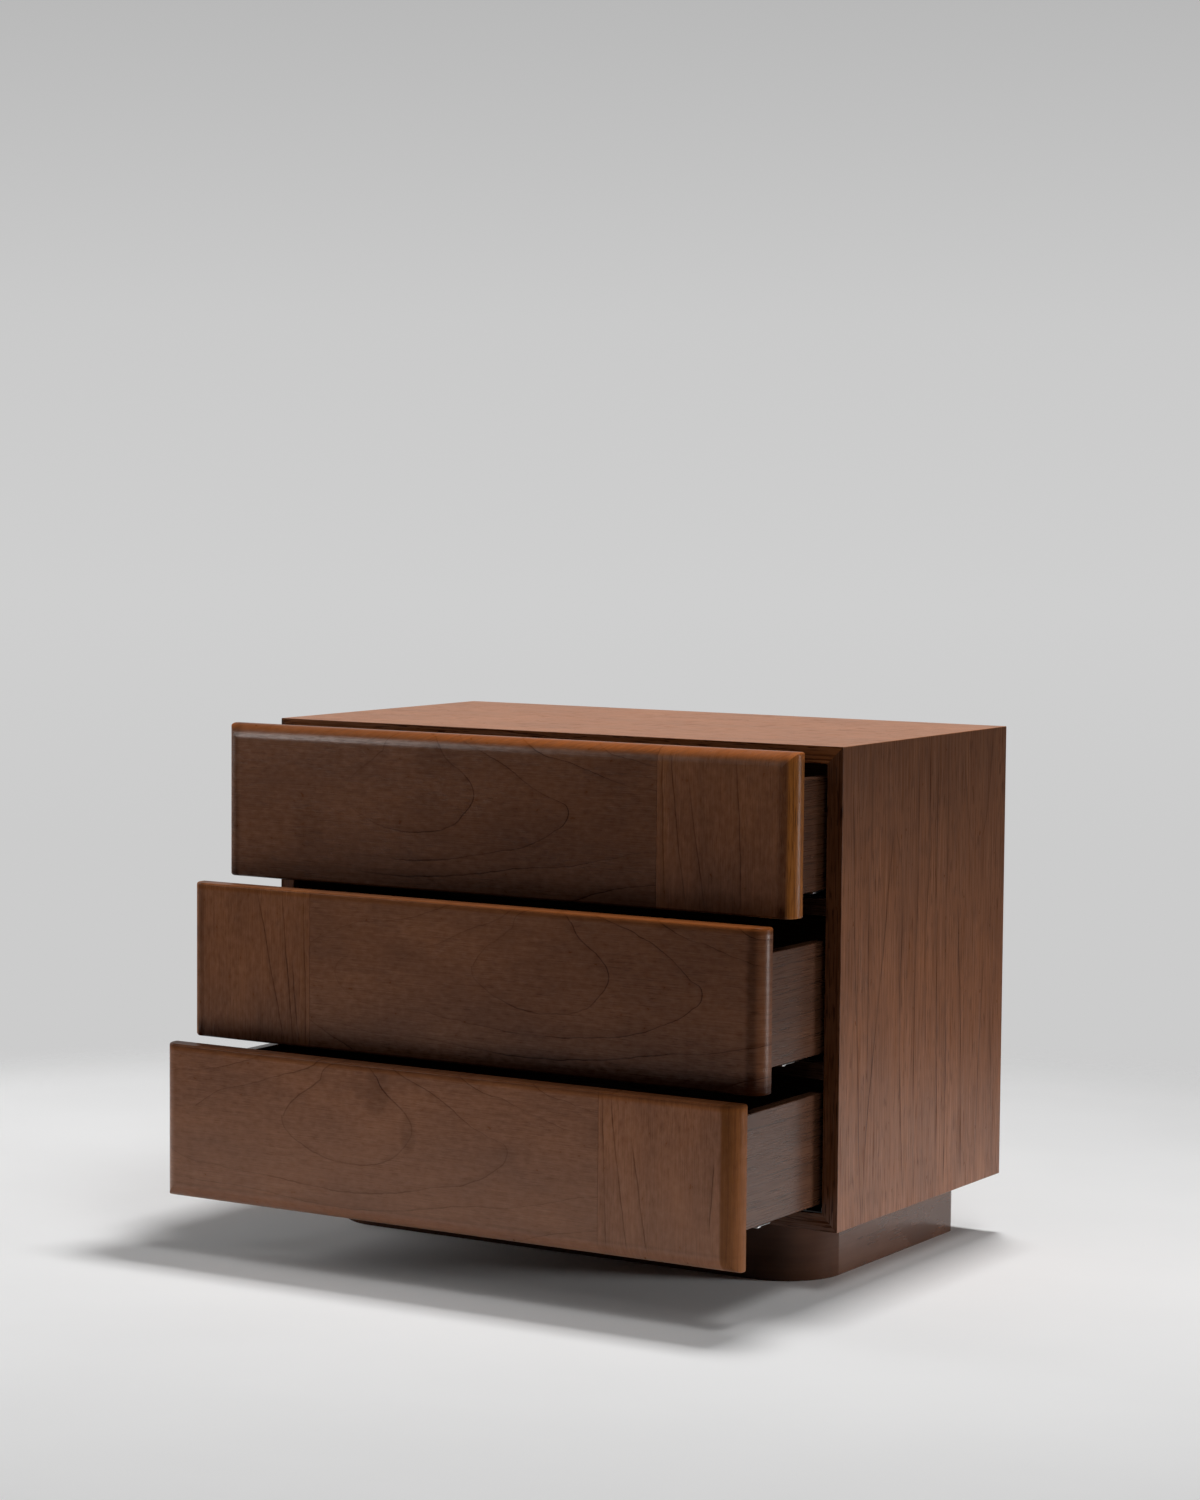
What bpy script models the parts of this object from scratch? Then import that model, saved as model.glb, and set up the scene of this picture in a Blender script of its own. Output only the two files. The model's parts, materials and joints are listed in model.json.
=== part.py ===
"""A low nightstand: a mitred veneered carcass on a recessed plinth, with three handle-less drawers
that run on concealed full-extension runners and stand part open in a stagger."""

from math import cos, pi, sin, sqrt

import bmesh
import bpy
from mathutils import Vector

# Carcass: its front edges lie in one plane, and the drawer fronts overlay them.
WIDTH = 0.650
DEPTH = 0.357
CARCASS_HEIGHT = 0.460
PANEL_T = 0.0165
BACK_T = 0.006
BACK_INSET = 0.008
RAIL_T = 0.016
RAIL_DEPTH = 0.060
RAIL_RISE = 0.0026

# Plinth: a frame of boards, set in under the carcass, with round front corners.
PLINTH_HEIGHT = 0.060
PLINTH_T = 0.016
PLINTH_SIDE_INSET = 0.040
PLINTH_FRONT_INSET = 0.021
PLINTH_BACK_INSET = 0.021
PLINTH_FRONT_RADIUS = 0.060
PLINTH_BACK_RADIUS = 0.010

# How far each drawer stands open: from the carcass front to the back face of the drawer front.
TOP_OPEN = 0.0756
MIDDLE_OPEN = 0.1319
BOTTOM_OPEN = 0.1757
CLOSED_GAP = 0.0015

# Drawer fronts: each is a wide panel and an end panel. Closed, the three fronts make one field with a
# rounded border, and the edges between them are only eased.
FRONT_T = 0.019
FRONT_GAP = 0.0022
FRONT_DROP = 0.0045
FRONT_EDGE_FLAT = 0.0035
FRONT_EASE = 0.0025
END_PANEL_WIDTH = 0.146

# Drawer boxes
BOX_SIDE_CLEARANCE = 0.005
BOX_T = 0.012
BOX_LIFT = 0.008
BOX_HEADROOM = 0.0125
BOX_REAR_SPACE = 0.043
BOX_BOTTOM_T = 0.006
BOX_BOTTOM_RECESS = 0.0125
GROOVE_DEPTH = 0.005

# Runners: pressed steel sections, nested under each side of a drawer box.
STEEL_T = 0.0015
RUNNER_WIDTH = 0.020
RUNNER_SETBACK = 0.002
CLIP_START = 0.060
CLIP_LENGTH = 0.024
CLIP_NOSE_LENGTH = 0.006
CLIP_NOSE_T = 0.0018
CLIP_LEVER_T = 0.0008

# Clearances: between pieces that are fastened together, and between pieces that slide.
SEAT_GAP = 0.0003
RUNNING_GAP = 0.0003

# Arc steps of a quarter round
EDGE_STEPS = 8
PLINTH_STEPS = 10

# Finishes: colour, roughness and metallic value
WALNUT_VENEER = ("walnut_veneer", (0.13, 0.055, 0.030), 0.38, 0.0)
END_VENEER = ("end_veneer", (0.15, 0.070, 0.030), 0.38, 0.0)
BOX_WOOD = ("box_wood", (0.10, 0.075, 0.062), 0.55, 0.0)
PLINTH_WOOD = ("plinth_wood", (0.075, 0.050, 0.042), 0.40, 0.0)
PLATED_STEEL = ("plated_steel", (0.62, 0.62, 0.60), 0.30, 1.0)

# Each drawer from the top down: how far it stands open, and the side its end panel is on.
DRAWERS = {
    "top": (TOP_OPEN, 1),
    "middle": (MIDDLE_OPEN, -1),
    "bottom": (BOTTOM_OPEN, 1),
}
SIDES = {"left": -1, "right": 1}

# Heights above the floor
CARCASS_BOTTOM = PLINTH_HEIGHT
CARCASS_TOP = PLINTH_HEIGHT + CARCASS_HEIGHT
FRONT_HEIGHT = (CARCASS_HEIGHT + FRONT_DROP - (len(DRAWERS) - 1) * FRONT_GAP) / len(DRAWERS)
FRONT_PITCH = FRONT_HEIGHT + FRONT_GAP

# Radius of the border round
BORDER = FRONT_T - FRONT_EDGE_FLAT

# Depths, counted back from the carcass front
BACK_FACE = DEPTH - BACK_INSET - BACK_T
BOX_LENGTH = BACK_FACE - BOX_REAR_SPACE
CARCASS_FRONT_Y = (max(TOP_OPEN, MIDDLE_OPEN, BOTTOM_OPEN) + FRONT_T - DEPTH) / 2

# Distances in from the centre line
INNER_HALF = WIDTH / 2 - PANEL_T
BOX_HALF = INNER_HALF - BOX_SIDE_CLEARANCE
BOX_INNER_HALF = BOX_HALF - BOX_T
RUNNER_OUTER = BOX_INNER_HALF - SEAT_GAP
RUNNER_INNER = RUNNER_OUTER - RUNNER_WIDTH

# Heights of the runner's parts, counted from the lower edge of the drawer box
CLIP_BOTTOM = -SEAT_GAP - CLIP_NOSE_T
CHANNEL_TOP = CLIP_BOTTOM - RUNNING_GAP
CHANNEL_BOTTOM = SEAT_GAP - BOX_LIFT
SLIDER_TOP = BOX_BOTTOM_RECESS - SEAT_GAP


def clear_scene():
    for old in list(bpy.data.objects):
        bpy.data.objects.remove(old)


def finish(look):
    """The material of a finish, made the first time it is asked for."""
    name, colour, roughness, metallic = look
    if name in bpy.data.materials:
        return bpy.data.materials[name]
    material = bpy.data.materials.new(name)
    material.use_nodes = True
    shader = material.node_tree.nodes["Principled BSDF"]
    shader.inputs["Base Color"].default_value = (*colour, 1.0)
    shader.inputs["Roughness"].default_value = roughness
    shader.inputs["Metallic"].default_value = metallic
    return material


def add_empty(name, parent, place):
    empty = bpy.data.objects.new(name, None)
    empty.location = place
    empty.parent = parent
    bpy.context.scene.collection.objects.link(empty)
    return empty


def add_object(name, shape, parent, place, look, smooth=False):
    """Turns a bmesh into a named object under its parent."""
    bmesh.ops.recalc_face_normals(shape, faces=shape.faces)
    mesh = bpy.data.meshes.new(name)
    shape.to_mesh(mesh)
    shape.free()
    if smooth:
        mesh.shade_smooth()
        mesh.set_sharp_from_angle(angle=pi / 6)
    mesh.materials.append(finish(look))
    made = bpy.data.objects.new(name, mesh)
    made.location = place
    made.parent = parent
    bpy.context.scene.collection.objects.link(made)
    return made


def add_board(name, low, high, parent, look):
    """A plain board between two opposite corners, with its origin at its middle."""
    low, high = Vector(low), Vector(high)
    shape = bmesh.new()
    bmesh.ops.create_cube(shape, size=1.0)
    bmesh.ops.scale(shape, vec=high - low, verts=shape.verts)
    return add_object(name, shape, parent, (low + high) / 2, look)


def add_extrusion(name, outline, along, length, parent, place, look, smooth=False):
    """An outline of (u, v) points, drawn out along X, Y or Z. Along X the outline is (y, z), along Y it
    is (x, z), and along Z it is (x, y)."""
    shape = bmesh.new()
    axis = "xyz".index(along)
    corners = []
    for u, v in outline:
        point = [u, v]
        point.insert(axis, 0.0)
        corners.append(shape.verts.new(point))
    face = shape.faces.new(corners)
    drawn = bmesh.ops.extrude_face_region(shape, geom=[face])
    step = Vector((0, 0, 0))
    step[axis] = length
    moved = [item for item in drawn["geom"] if isinstance(item, bmesh.types.BMVert)]
    bmesh.ops.translate(shape, vec=step, verts=moved)
    return add_object(name, shape, parent, place, look, smooth)


def arc(centre, radius, start, end, steps):
    """Points along an arc, angles in quarter turns."""
    points = []
    for i in range(steps + 1):
        angle = (start + (end - start) * i / steps) * pi / 2
        points.append((centre[0] + radius * cos(angle), centre[1] + radius * sin(angle)))
    return points


def add_carcass(root):
    """Four panels mitred at the corners, a back panel, and the rails between the drawers."""
    ease = SEAT_GAP * sqrt(2) / 2
    half = WIDTH / 2
    middle = (CARCASS_BOTTOM + CARCASS_TOP) / 2
    half_height = CARCASS_HEIGHT / 2
    for name, side in {"bottom_panel": -1, "top_panel": 1}.items():
        outer, inner = half - ease, half - PANEL_T - ease
        outline = [
            (-outer, side * half_height),
            (outer, side * half_height),
            (inner, side * (half_height - PANEL_T)),
            (-inner, side * (half_height - PANEL_T)),
        ]
        add_extrusion(name, outline, "y", DEPTH, root, (0, 0, middle), WALNUT_VENEER)
    for name, side in SIDES.items():
        outer, inner = half_height - ease, half_height - PANEL_T - ease
        outline = [
            (side * half, -outer),
            (side * half, outer),
            (side * (half - PANEL_T), inner),
            (side * (half - PANEL_T), -inner),
        ]
        add_extrusion(f"{name}_side_panel", outline, "y", DEPTH, root, (0, 0, middle), WALNUT_VENEER)
    add_board(
        "back_panel",
        (SEAT_GAP - INNER_HALF, BACK_FACE, CARCASS_BOTTOM + PANEL_T + SEAT_GAP),
        (INNER_HALF - SEAT_GAP, BACK_FACE + BACK_T, CARCASS_TOP - PANEL_T - SEAT_GAP),
        root,
        WALNUT_VENEER,
    )
    for row, name in enumerate(("upper_divider_rail", "lower_divider_rail")):
        add_board(
            name,
            (SEAT_GAP - INNER_HALF, 0, rail_bottom(row)),
            (INNER_HALF - SEAT_GAP, RAIL_DEPTH, rail_bottom(row) + RAIL_T),
            root,
            WALNUT_VENEER,
        )


def rail_bottom(row):
    """Height of the rail below this row of drawers, which backs the gap between two fronts."""
    return front_bottom(row) - FRONT_GAP / 2 + RAIL_RISE - RAIL_T / 2


def front_bottom(row):
    return CARCASS_TOP - FRONT_HEIGHT - row * FRONT_PITCH


def bay_floor(row):
    """Height of what a row's drawer runs over: a rail, or the bottom panel."""
    last = len(DRAWERS) - 1
    return CARCASS_BOTTOM + PANEL_T if row == last else rail_bottom(row) + RAIL_T


def bay_ceiling(row):
    return CARCASS_TOP - PANEL_T if row == 0 else rail_bottom(row - 1)


def box_height():
    """All boxes are alike, and fit the lowest bay."""
    lowest = min(bay_ceiling(row) - bay_floor(row) for row in range(len(DRAWERS)))
    return lowest - BOX_LIFT - BOX_HEADROOM


def add_plinth(root):
    """Front, side and back boards with two round front corners, under the bottom panel."""
    top = PLINTH_HEIGHT - SEAT_GAP
    half = WIDTH / 2 - PLINTH_SIDE_INSET
    front = PLINTH_FRONT_INSET
    back = DEPTH - PLINTH_BACK_INSET
    bend = half - PLINTH_FRONT_RADIUS
    bend_end = front + PLINTH_FRONT_RADIUS
    add_board(
        "plinth_front",
        (SEAT_GAP - bend, front, 0),
        (bend - SEAT_GAP, front + PLINTH_T, top),
        root,
        PLINTH_WOOD,
    )
    for name, side in SIDES.items():
        outer = arc((0, 0), PLINTH_FRONT_RADIUS, -1, 0, PLINTH_STEPS)
        inner = arc((0, 0), PLINTH_FRONT_RADIUS - PLINTH_T, 0, -1, PLINTH_STEPS)
        outline = [(side * x, y) for x, y in outer + inner]
        add_extrusion(
            f"plinth_{name}_corner",
            outline,
            "z",
            top,
            root,
            (side * bend, bend_end, 0),
            PLINTH_WOOD,
            smooth=True,
        )
        edges = sorted((side * half, side * (half - PLINTH_T)))
        add_board(
            f"plinth_{name}_side",
            (edges[0], bend_end + SEAT_GAP, 0),
            (edges[1], back - PLINTH_T - SEAT_GAP, top),
            root,
            PLINTH_WOOD,
        )
    round_x, round_y = half - PLINTH_BACK_RADIUS, back - PLINTH_BACK_RADIUS
    outline = [(-half, back - PLINTH_T), (half, back - PLINTH_T)]
    outline += arc((round_x, round_y), PLINTH_BACK_RADIUS, 0, 1, PLINTH_STEPS)
    outline += arc((-round_x, round_y), PLINTH_BACK_RADIUS, 1, 2, PLINTH_STEPS)
    add_extrusion("plinth_back", outline, "z", top, root, (0, 0, 0), PLINTH_WOOD, smooth=True)


def edge_inset(radius, forward):
    """How far an edge with this radius has drawn in, at a distance forward of the front's back face."""
    rise = max(0.0, forward - (FRONT_T - radius))
    return radius - sqrt(max(0.0, radius * radius - rise * rise))


def add_front_piece(name, ends, radii, bottom, parent, look):
    """Part of a drawer front between two X positions, lofted forward from its back face. The radii are
    those of its left, right, lower and upper edges, and the rounds meet in a crease at the corners."""
    stations = [0.0]
    for i in range(EDGE_STEPS + 1):
        stations.append(FRONT_EDGE_FLAT + BORDER * sin(pi / 2 * i / EDGE_STEPS))
    shape = bmesh.new()
    loops = []
    for forward in stations:
        left, right, lower, upper = (edge_inset(radius, forward) for radius in radii)
        low, high = ends[0] + left, ends[1] - right
        base, top = bottom + lower, bottom + FRONT_HEIGHT - upper
        corners = [(low, base), (high, base), (high, top), (low, top)]
        loops.append([shape.verts.new((x, -forward, z)) for x, z in corners])
    for back, front in zip(loops, loops[1:]):
        for i in range(4):
            j = (i + 1) % 4
            shape.faces.new((back[i], back[j], front[j], front[i]))
    shape.faces.new(loops[0])
    shape.faces.new(loops[-1])
    add_object(name, shape, parent, (0, 0, 0), look, smooth=True)


def add_drawer_front(drawer, row, end_side, parent):
    """The wide panel and the end panel, which meet at a seam near one end of the front."""
    half = WIDTH / 2
    seam = half - END_PANEL_WIDTH
    wide = sorted((-end_side * half, end_side * (seam - SEAT_GAP / 2)))
    end = sorted((end_side * half, end_side * (seam + SEAT_GAP / 2)))
    lower = BORDER if row == len(DRAWERS) - 1 else FRONT_EASE
    upper = BORDER if row == 0 else FRONT_EASE
    on_left = (BORDER, 0, lower, upper)
    on_right = (0, BORDER, lower, upper)
    wide_radii, end_radii = (on_left, on_right) if end_side > 0 else (on_right, on_left)
    bottom = front_bottom(row)
    add_front_piece(f"{drawer}_front_panel", wide, wide_radii, bottom, parent, WALNUT_VENEER)
    add_front_piece(f"{drawer}_front_end_panel", end, end_radii, bottom, parent, END_VENEER)


def add_drawer_box(drawer, row, parent):
    """Two sides, an inner front and a back, with a bottom panel held in grooves."""
    base = bay_floor(row) + BOX_LIFT
    height = box_height()
    front = SEAT_GAP
    back = BOX_LENGTH
    groove_low = BOX_BOTTOM_RECESS
    groove_high = groove_low + BOX_BOTTOM_T + 2 * SEAT_GAP
    grooved = [
        (0, 0),
        (BOX_T, 0),
        (BOX_T, height),
        (0, height),
        (0, groove_high),
        (GROOVE_DEPTH, groove_high),
        (GROOVE_DEPTH, groove_low),
        (0, groove_low),
    ]
    for name, side in SIDES.items():
        outline = [(side * u, v) for u, v in grooved]
        place = (side * BOX_INNER_HALF, front, base)
        add_extrusion(f"{drawer}_box_{name}_side", outline, "y", back - front, parent, place, BOX_WOOD)
    inner_half = BOX_INNER_HALF - SEAT_GAP
    outline = [(-u, v) for u, v in grooved]
    place = (-inner_half, front + BOX_T, base)
    add_extrusion(f"{drawer}_box_front", outline, "x", 2 * inner_half, parent, place, BOX_WOOD)
    add_board(
        f"{drawer}_box_back",
        (-inner_half, back - BOX_T, base + groove_high),
        (inner_half, back, base + height),
        parent,
        BOX_WOOD,
    )
    bottom_half = BOX_INNER_HALF + GROOVE_DEPTH - SEAT_GAP
    add_board(
        f"{drawer}_box_bottom",
        (-bottom_half, front + BOX_T - GROOVE_DEPTH + SEAT_GAP, base + groove_low + SEAT_GAP),
        (bottom_half, back, base + groove_high - SEAT_GAP),
        parent,
        BOX_WOOD,
    )


def add_cabinet_rails(drawer, row, root):
    """Fixed channels along the carcass sides, each with a flange on the side panel."""
    base = bay_floor(row) + BOX_LIFT
    web = CHANNEL_BOTTOM + STEEL_T
    flange = INNER_HALF - SEAT_GAP
    section = [
        (flange, CHANNEL_TOP),
        (flange, CHANNEL_BOTTOM),
        (RUNNER_INNER, CHANNEL_BOTTOM),
        (RUNNER_INNER, CHANNEL_TOP),
        (RUNNER_INNER + STEEL_T, CHANNEL_TOP),
        (RUNNER_INNER + STEEL_T, web),
        (RUNNER_OUTER - STEEL_T, web),
        (RUNNER_OUTER - STEEL_T, CHANNEL_TOP),
        (RUNNER_OUTER, CHANNEL_TOP),
        (RUNNER_OUTER, web),
        (flange - STEEL_T, web),
        (flange - STEEL_T, CHANNEL_TOP),
    ]
    length = BOX_LENGTH - RUNNER_SETBACK
    for name, side in SIDES.items():
        outline = [(side * x, z) for x, z in section]
        place = (0, RUNNER_SETBACK, base)
        add_extrusion(f"{drawer}_{name}_cabinet_rail", outline, "y", length, root, place, PLATED_STEEL)


def add_middle_rails(drawer, row, parent):
    """Sections that run in the fixed channels and carry the drawer's own, at half its travel."""
    base = bay_floor(row) + BOX_LIFT
    inner = RUNNER_INNER + STEEL_T + RUNNING_GAP
    outer = RUNNER_OUTER - STEEL_T - RUNNING_GAP
    low = CHANNEL_BOTTOM + STEEL_T + RUNNING_GAP
    high = SLIDER_TOP - STEEL_T - RUNNING_GAP
    section = [
        (outer, low),
        (outer, high),
        (inner, high),
        (inner, high - STEEL_T),
        (outer - STEEL_T, high - STEEL_T),
        (outer - STEEL_T, low + STEEL_T),
        (inner, low + STEEL_T),
        (inner, low),
    ]
    start = BOX_T + SEAT_GAP + RUNNING_GAP
    length = BOX_LENGTH - start
    for name, side in SIDES.items():
        outline = [(side * x, z) for x, z in section]
        place = (0, start, base)
        add_extrusion(f"{drawer}_{name}_middle_rail", outline, "y", length, parent, place, PLATED_STEEL)


def add_drawer_rails(drawer, row, parent):
    """Caps over the middle rails, under the drawer bottom, and the clips that lock the box to them."""
    base = bay_floor(row) + BOX_LIFT
    under_cap = SLIDER_TOP - STEEL_T
    section = [
        (RUNNER_OUTER, CLIP_BOTTOM),
        (RUNNER_OUTER, SLIDER_TOP),
        (RUNNER_INNER, SLIDER_TOP),
        (RUNNER_INNER, CLIP_BOTTOM),
        (RUNNER_INNER + STEEL_T, CLIP_BOTTOM),
        (RUNNER_INNER + STEEL_T, under_cap),
        (RUNNER_OUTER - STEEL_T, under_cap),
        (RUNNER_OUTER - STEEL_T, CLIP_BOTTOM),
    ]
    start = SEAT_GAP + BOX_T + SEAT_GAP
    length = BOX_LENGTH - start
    lever = [
        (0, -SEAT_GAP),
        (CLIP_LENGTH, -SEAT_GAP),
        (CLIP_LENGTH, -SEAT_GAP - CLIP_LEVER_T),
        (CLIP_NOSE_LENGTH, -SEAT_GAP - CLIP_LEVER_T),
        (CLIP_NOSE_LENGTH, CLIP_BOTTOM),
        (0, CLIP_BOTTOM),
    ]
    clip_width = BOX_T
    for name, side in SIDES.items():
        outline = [(side * x, z) for x, z in section]
        place = (0, start, base)
        add_extrusion(f"{drawer}_{name}_drawer_rail", outline, "y", length, parent, place, PLATED_STEEL)
        clip_low = BOX_INNER_HALF if side > 0 else -BOX_HALF
        place = (clip_low, CLIP_START, base)
        add_extrusion(f"{drawer}_{name}_clip", lever, "x", clip_width, parent, place, PLATED_STEEL)


def add_drawers(root):
    """Each drawer hangs on an empty that slides along Y, and its middle rails on another."""
    for row, (drawer, (opened, end_side)) in enumerate(DRAWERS.items()):
        slide = add_empty(f"{drawer}_drawer_slide", root, (0, -opened, 0))
        half_slide = add_empty(f"{drawer}_rail_slide", root, (0, -(opened + CLOSED_GAP) / 2, 0))
        add_drawer_front(drawer, row, end_side, slide)
        add_drawer_box(drawer, row, slide)
        add_drawer_rails(drawer, row, slide)
        add_middle_rails(drawer, row, half_slide)
        add_cabinet_rails(drawer, row, root)


def main():
    clear_scene()
    root = add_empty("nightstand", None, (0, CARCASS_FRONT_Y, 0))
    add_carcass(root)
    add_plinth(root)
    add_drawers(root)


main()
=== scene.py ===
"""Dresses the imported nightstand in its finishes: figured walnut fronts, a mitred veneered carcass,
grey-brown drawer boxes, a dark plinth and plated runners, in a plain studio."""

import json
from math import atan2, cos, hypot, pi, radians, sin, sqrt

import bmesh
import bpy
from mathutils import Matrix, Vector


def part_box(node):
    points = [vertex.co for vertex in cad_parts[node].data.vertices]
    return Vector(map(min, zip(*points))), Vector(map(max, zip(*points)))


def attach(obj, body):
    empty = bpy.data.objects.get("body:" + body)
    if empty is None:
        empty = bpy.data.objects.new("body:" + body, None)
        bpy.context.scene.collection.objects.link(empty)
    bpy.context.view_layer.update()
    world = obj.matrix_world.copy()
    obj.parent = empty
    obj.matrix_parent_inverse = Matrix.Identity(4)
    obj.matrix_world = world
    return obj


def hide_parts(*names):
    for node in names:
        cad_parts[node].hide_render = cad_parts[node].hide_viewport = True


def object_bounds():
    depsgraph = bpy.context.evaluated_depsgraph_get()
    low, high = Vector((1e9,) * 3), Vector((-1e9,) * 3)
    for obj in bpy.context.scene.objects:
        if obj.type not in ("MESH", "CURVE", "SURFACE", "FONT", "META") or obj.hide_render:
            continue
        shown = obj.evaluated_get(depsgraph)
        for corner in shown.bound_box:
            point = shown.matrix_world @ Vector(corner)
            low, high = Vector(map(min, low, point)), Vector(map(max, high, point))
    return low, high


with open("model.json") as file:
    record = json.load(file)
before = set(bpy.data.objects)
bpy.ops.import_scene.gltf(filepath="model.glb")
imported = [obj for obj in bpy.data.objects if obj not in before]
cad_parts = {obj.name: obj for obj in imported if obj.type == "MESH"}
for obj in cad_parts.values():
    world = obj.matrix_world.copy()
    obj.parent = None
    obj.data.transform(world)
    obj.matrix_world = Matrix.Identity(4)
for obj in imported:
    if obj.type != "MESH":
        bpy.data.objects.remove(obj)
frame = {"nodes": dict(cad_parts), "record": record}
cad_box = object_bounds()

# What the frame says: the body that carries each node, and half the width, in mm
BODY_OF = {n: body for body, nodes in frame["record"]["behaviour"]["bodies"].items() for n in nodes}
HALF_WIDTH = 1000 * cad_box[1].x

# Words in the names of nodes, with the way each side faces, and the axes
DRAWERS = ("top", "middle", "bottom")
SIDES = {"left": -1, "right": 1}
X, Y, Z = (1, 0, 0), (0, 1, 0), (0, 0, 1)

# Edges, in metres
FRONT_BORDER = 0.0155
FRONT_EASE = 0.0025
FRONT_CORNER = 0.0022
CREASE = 0.00015
BACK_EASE = 0.0004
CARCASS_ARRIS = 0.0008
CARCASS_EASE = 0.0005
PLINTH_RADIUS = 0.060
PLINTH_BACK_RADIUS = 0.010
PLINTH_EASE = 0.0006
BOARD_EASE = 0.0005
BOX_EASE = 0.0009
STEEL_EASE = 0.0003

# Satin lacquer: its roughness and its gloss
SATIN = 0.30
SATIN_SPECULAR = 0.38

# Levels of noise at which a grey is dark and light
GREY_PLACES = (0.3, 0.7)

# Least height of a curve, in millimetres
LEAST_RISE = 0.001

# Depth of the bump in a surface, in metres
VENEER_DEPTH = 0.00005
BOX_DEPTH = 0.00006
SMOOTH_DEPTH = 0.00002

# Steps of the rounds
BORDER_STEPS = 18
EASE_STEPS = 4
CORNER_STEPS = 4
ARRIS_STEPS = 3
BEVEL_STEPS = 2
PLINTH_STEPS = 28

# How meshes are cleaned and shaded
WELD = 0.000001
LEAST_STEP = 0.00004
FLAT_ANGLE = radians(1)
EDGE_ANGLE = radians(25)
SHARP_ANGLE = radians(40)
FACE_WEIGHT = 100

# Camera: the photograph's frame is 1200 by 1500, so the sensor's width lies along its height
CAMERA_PLACE = (1.890869, -3.076464, 0.771473)
CAMERA_YAW = radians(31.4526)
CAMERA_PITCH = radians(4.3418)
CAMERA_ROLL = radians(0.4687)
CAMERA_LENS = 86.95
CAMERA_SENSOR = 36.0

# Floor and flag, in metres, with the patches of their tone in millimetres and the span in quarter turns
FLOOR_CENTRE = (0.13, -0.21)
FLOOR_RADIUS = 1.65
FLOOR_FADE = 1.29
FLOOR_SEGMENTS = 96
FLOOR_PATCH = (300, 300)
FLOOR_GREYS = (236, 241)
FLOOR_GREY_PLACES = (0.2, 0.8)
FLOOR_ROUGH = 0.75
FLOOR_SPECULAR = 0.2
FLAG_DISTANCE = 2.9
FLAG_HEIGHTS = (-1.2, 1.6)
FLAG_SPAN = (-205 / 90, 88 / 90)
FLAG_STEPS = 48
FLAG_PATCH = (200, 200)
FLAG_GREYS = (40, 52)
FLAG_ROUGH = 0.9
FLAG_SPECULAR = 0.1

# Glow of the flag: full low down, dim at the front right and faint at the top; distances in millimetres
FLAG_GLOW = 0.10
FLAG_DIM_GLOW = 0.03
FLAG_DIM_TOWARDS = (0.7, -0.7, 0)
FLAG_DIM_SIDE = (2200, 1000)
FLAG_FALL = (900, 200)
FLAG_TOP_SHARE = 0.15

# World: light of the room on the object, and the grey it shows from below the horizon up
FILL_STRENGTH = 0.03
FILL_TONE = (240, 240, 242)
ROOM_SPAN = (-0.10, 1.0)
ROOM_LEVELS = ((0.0, 204), (0.06, 207), (0.13, 202), (0.236, 178), (0.41, 140), (0.68, 40))

# Lamps: place, aim, size in metres and power
LAMPS = {
    "overhead": ((0.15, 0.63, 3.2), (0.05, 0.02, 0.0), (0.42, 0.42), 66),
    "upper_right": ((2.0, -0.95, 4.25), (0.3, -0.2, 0.2), (1.4, 1.4), 38),
    "left_window": ((-2.2, -0.45, 0.95), (-0.3, -0.2, 0.0), (1.0, 1.0), 16),
    "front_left": ((-0.82, -1.01, 0.78), (-0.1, -0.2, 0.45), (0.3, 0.3), 0.7),
    "gleam": ((-0.98, -1.01, 1.06), (-0.25, -0.2, 0.5), (0.22, 0.70), 3.9),
    "right_low": ((2.3, 0.9, 0.28), (0.3, -0.03, -0.16), (0.7, 0.25), 2.15),
}
LOW_LAMP_SPREAD = radians(40)


def paint(red, green, blue):
    """A colour as it is written on screen, 0 to 255, as the linear values that shaders take."""
    levels = []
    for value in (red, green, blue):
        level = value / 255
        levels.append(level / 12.92 if level <= 0.04045 else ((level + 0.055) / 1.055) ** 2.4)
    return (*levels, 1.0)


def grey(level):
    """A grey as it is written on screen."""
    return paint(level, level, level)


# Nodes of a material or of the world

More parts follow.
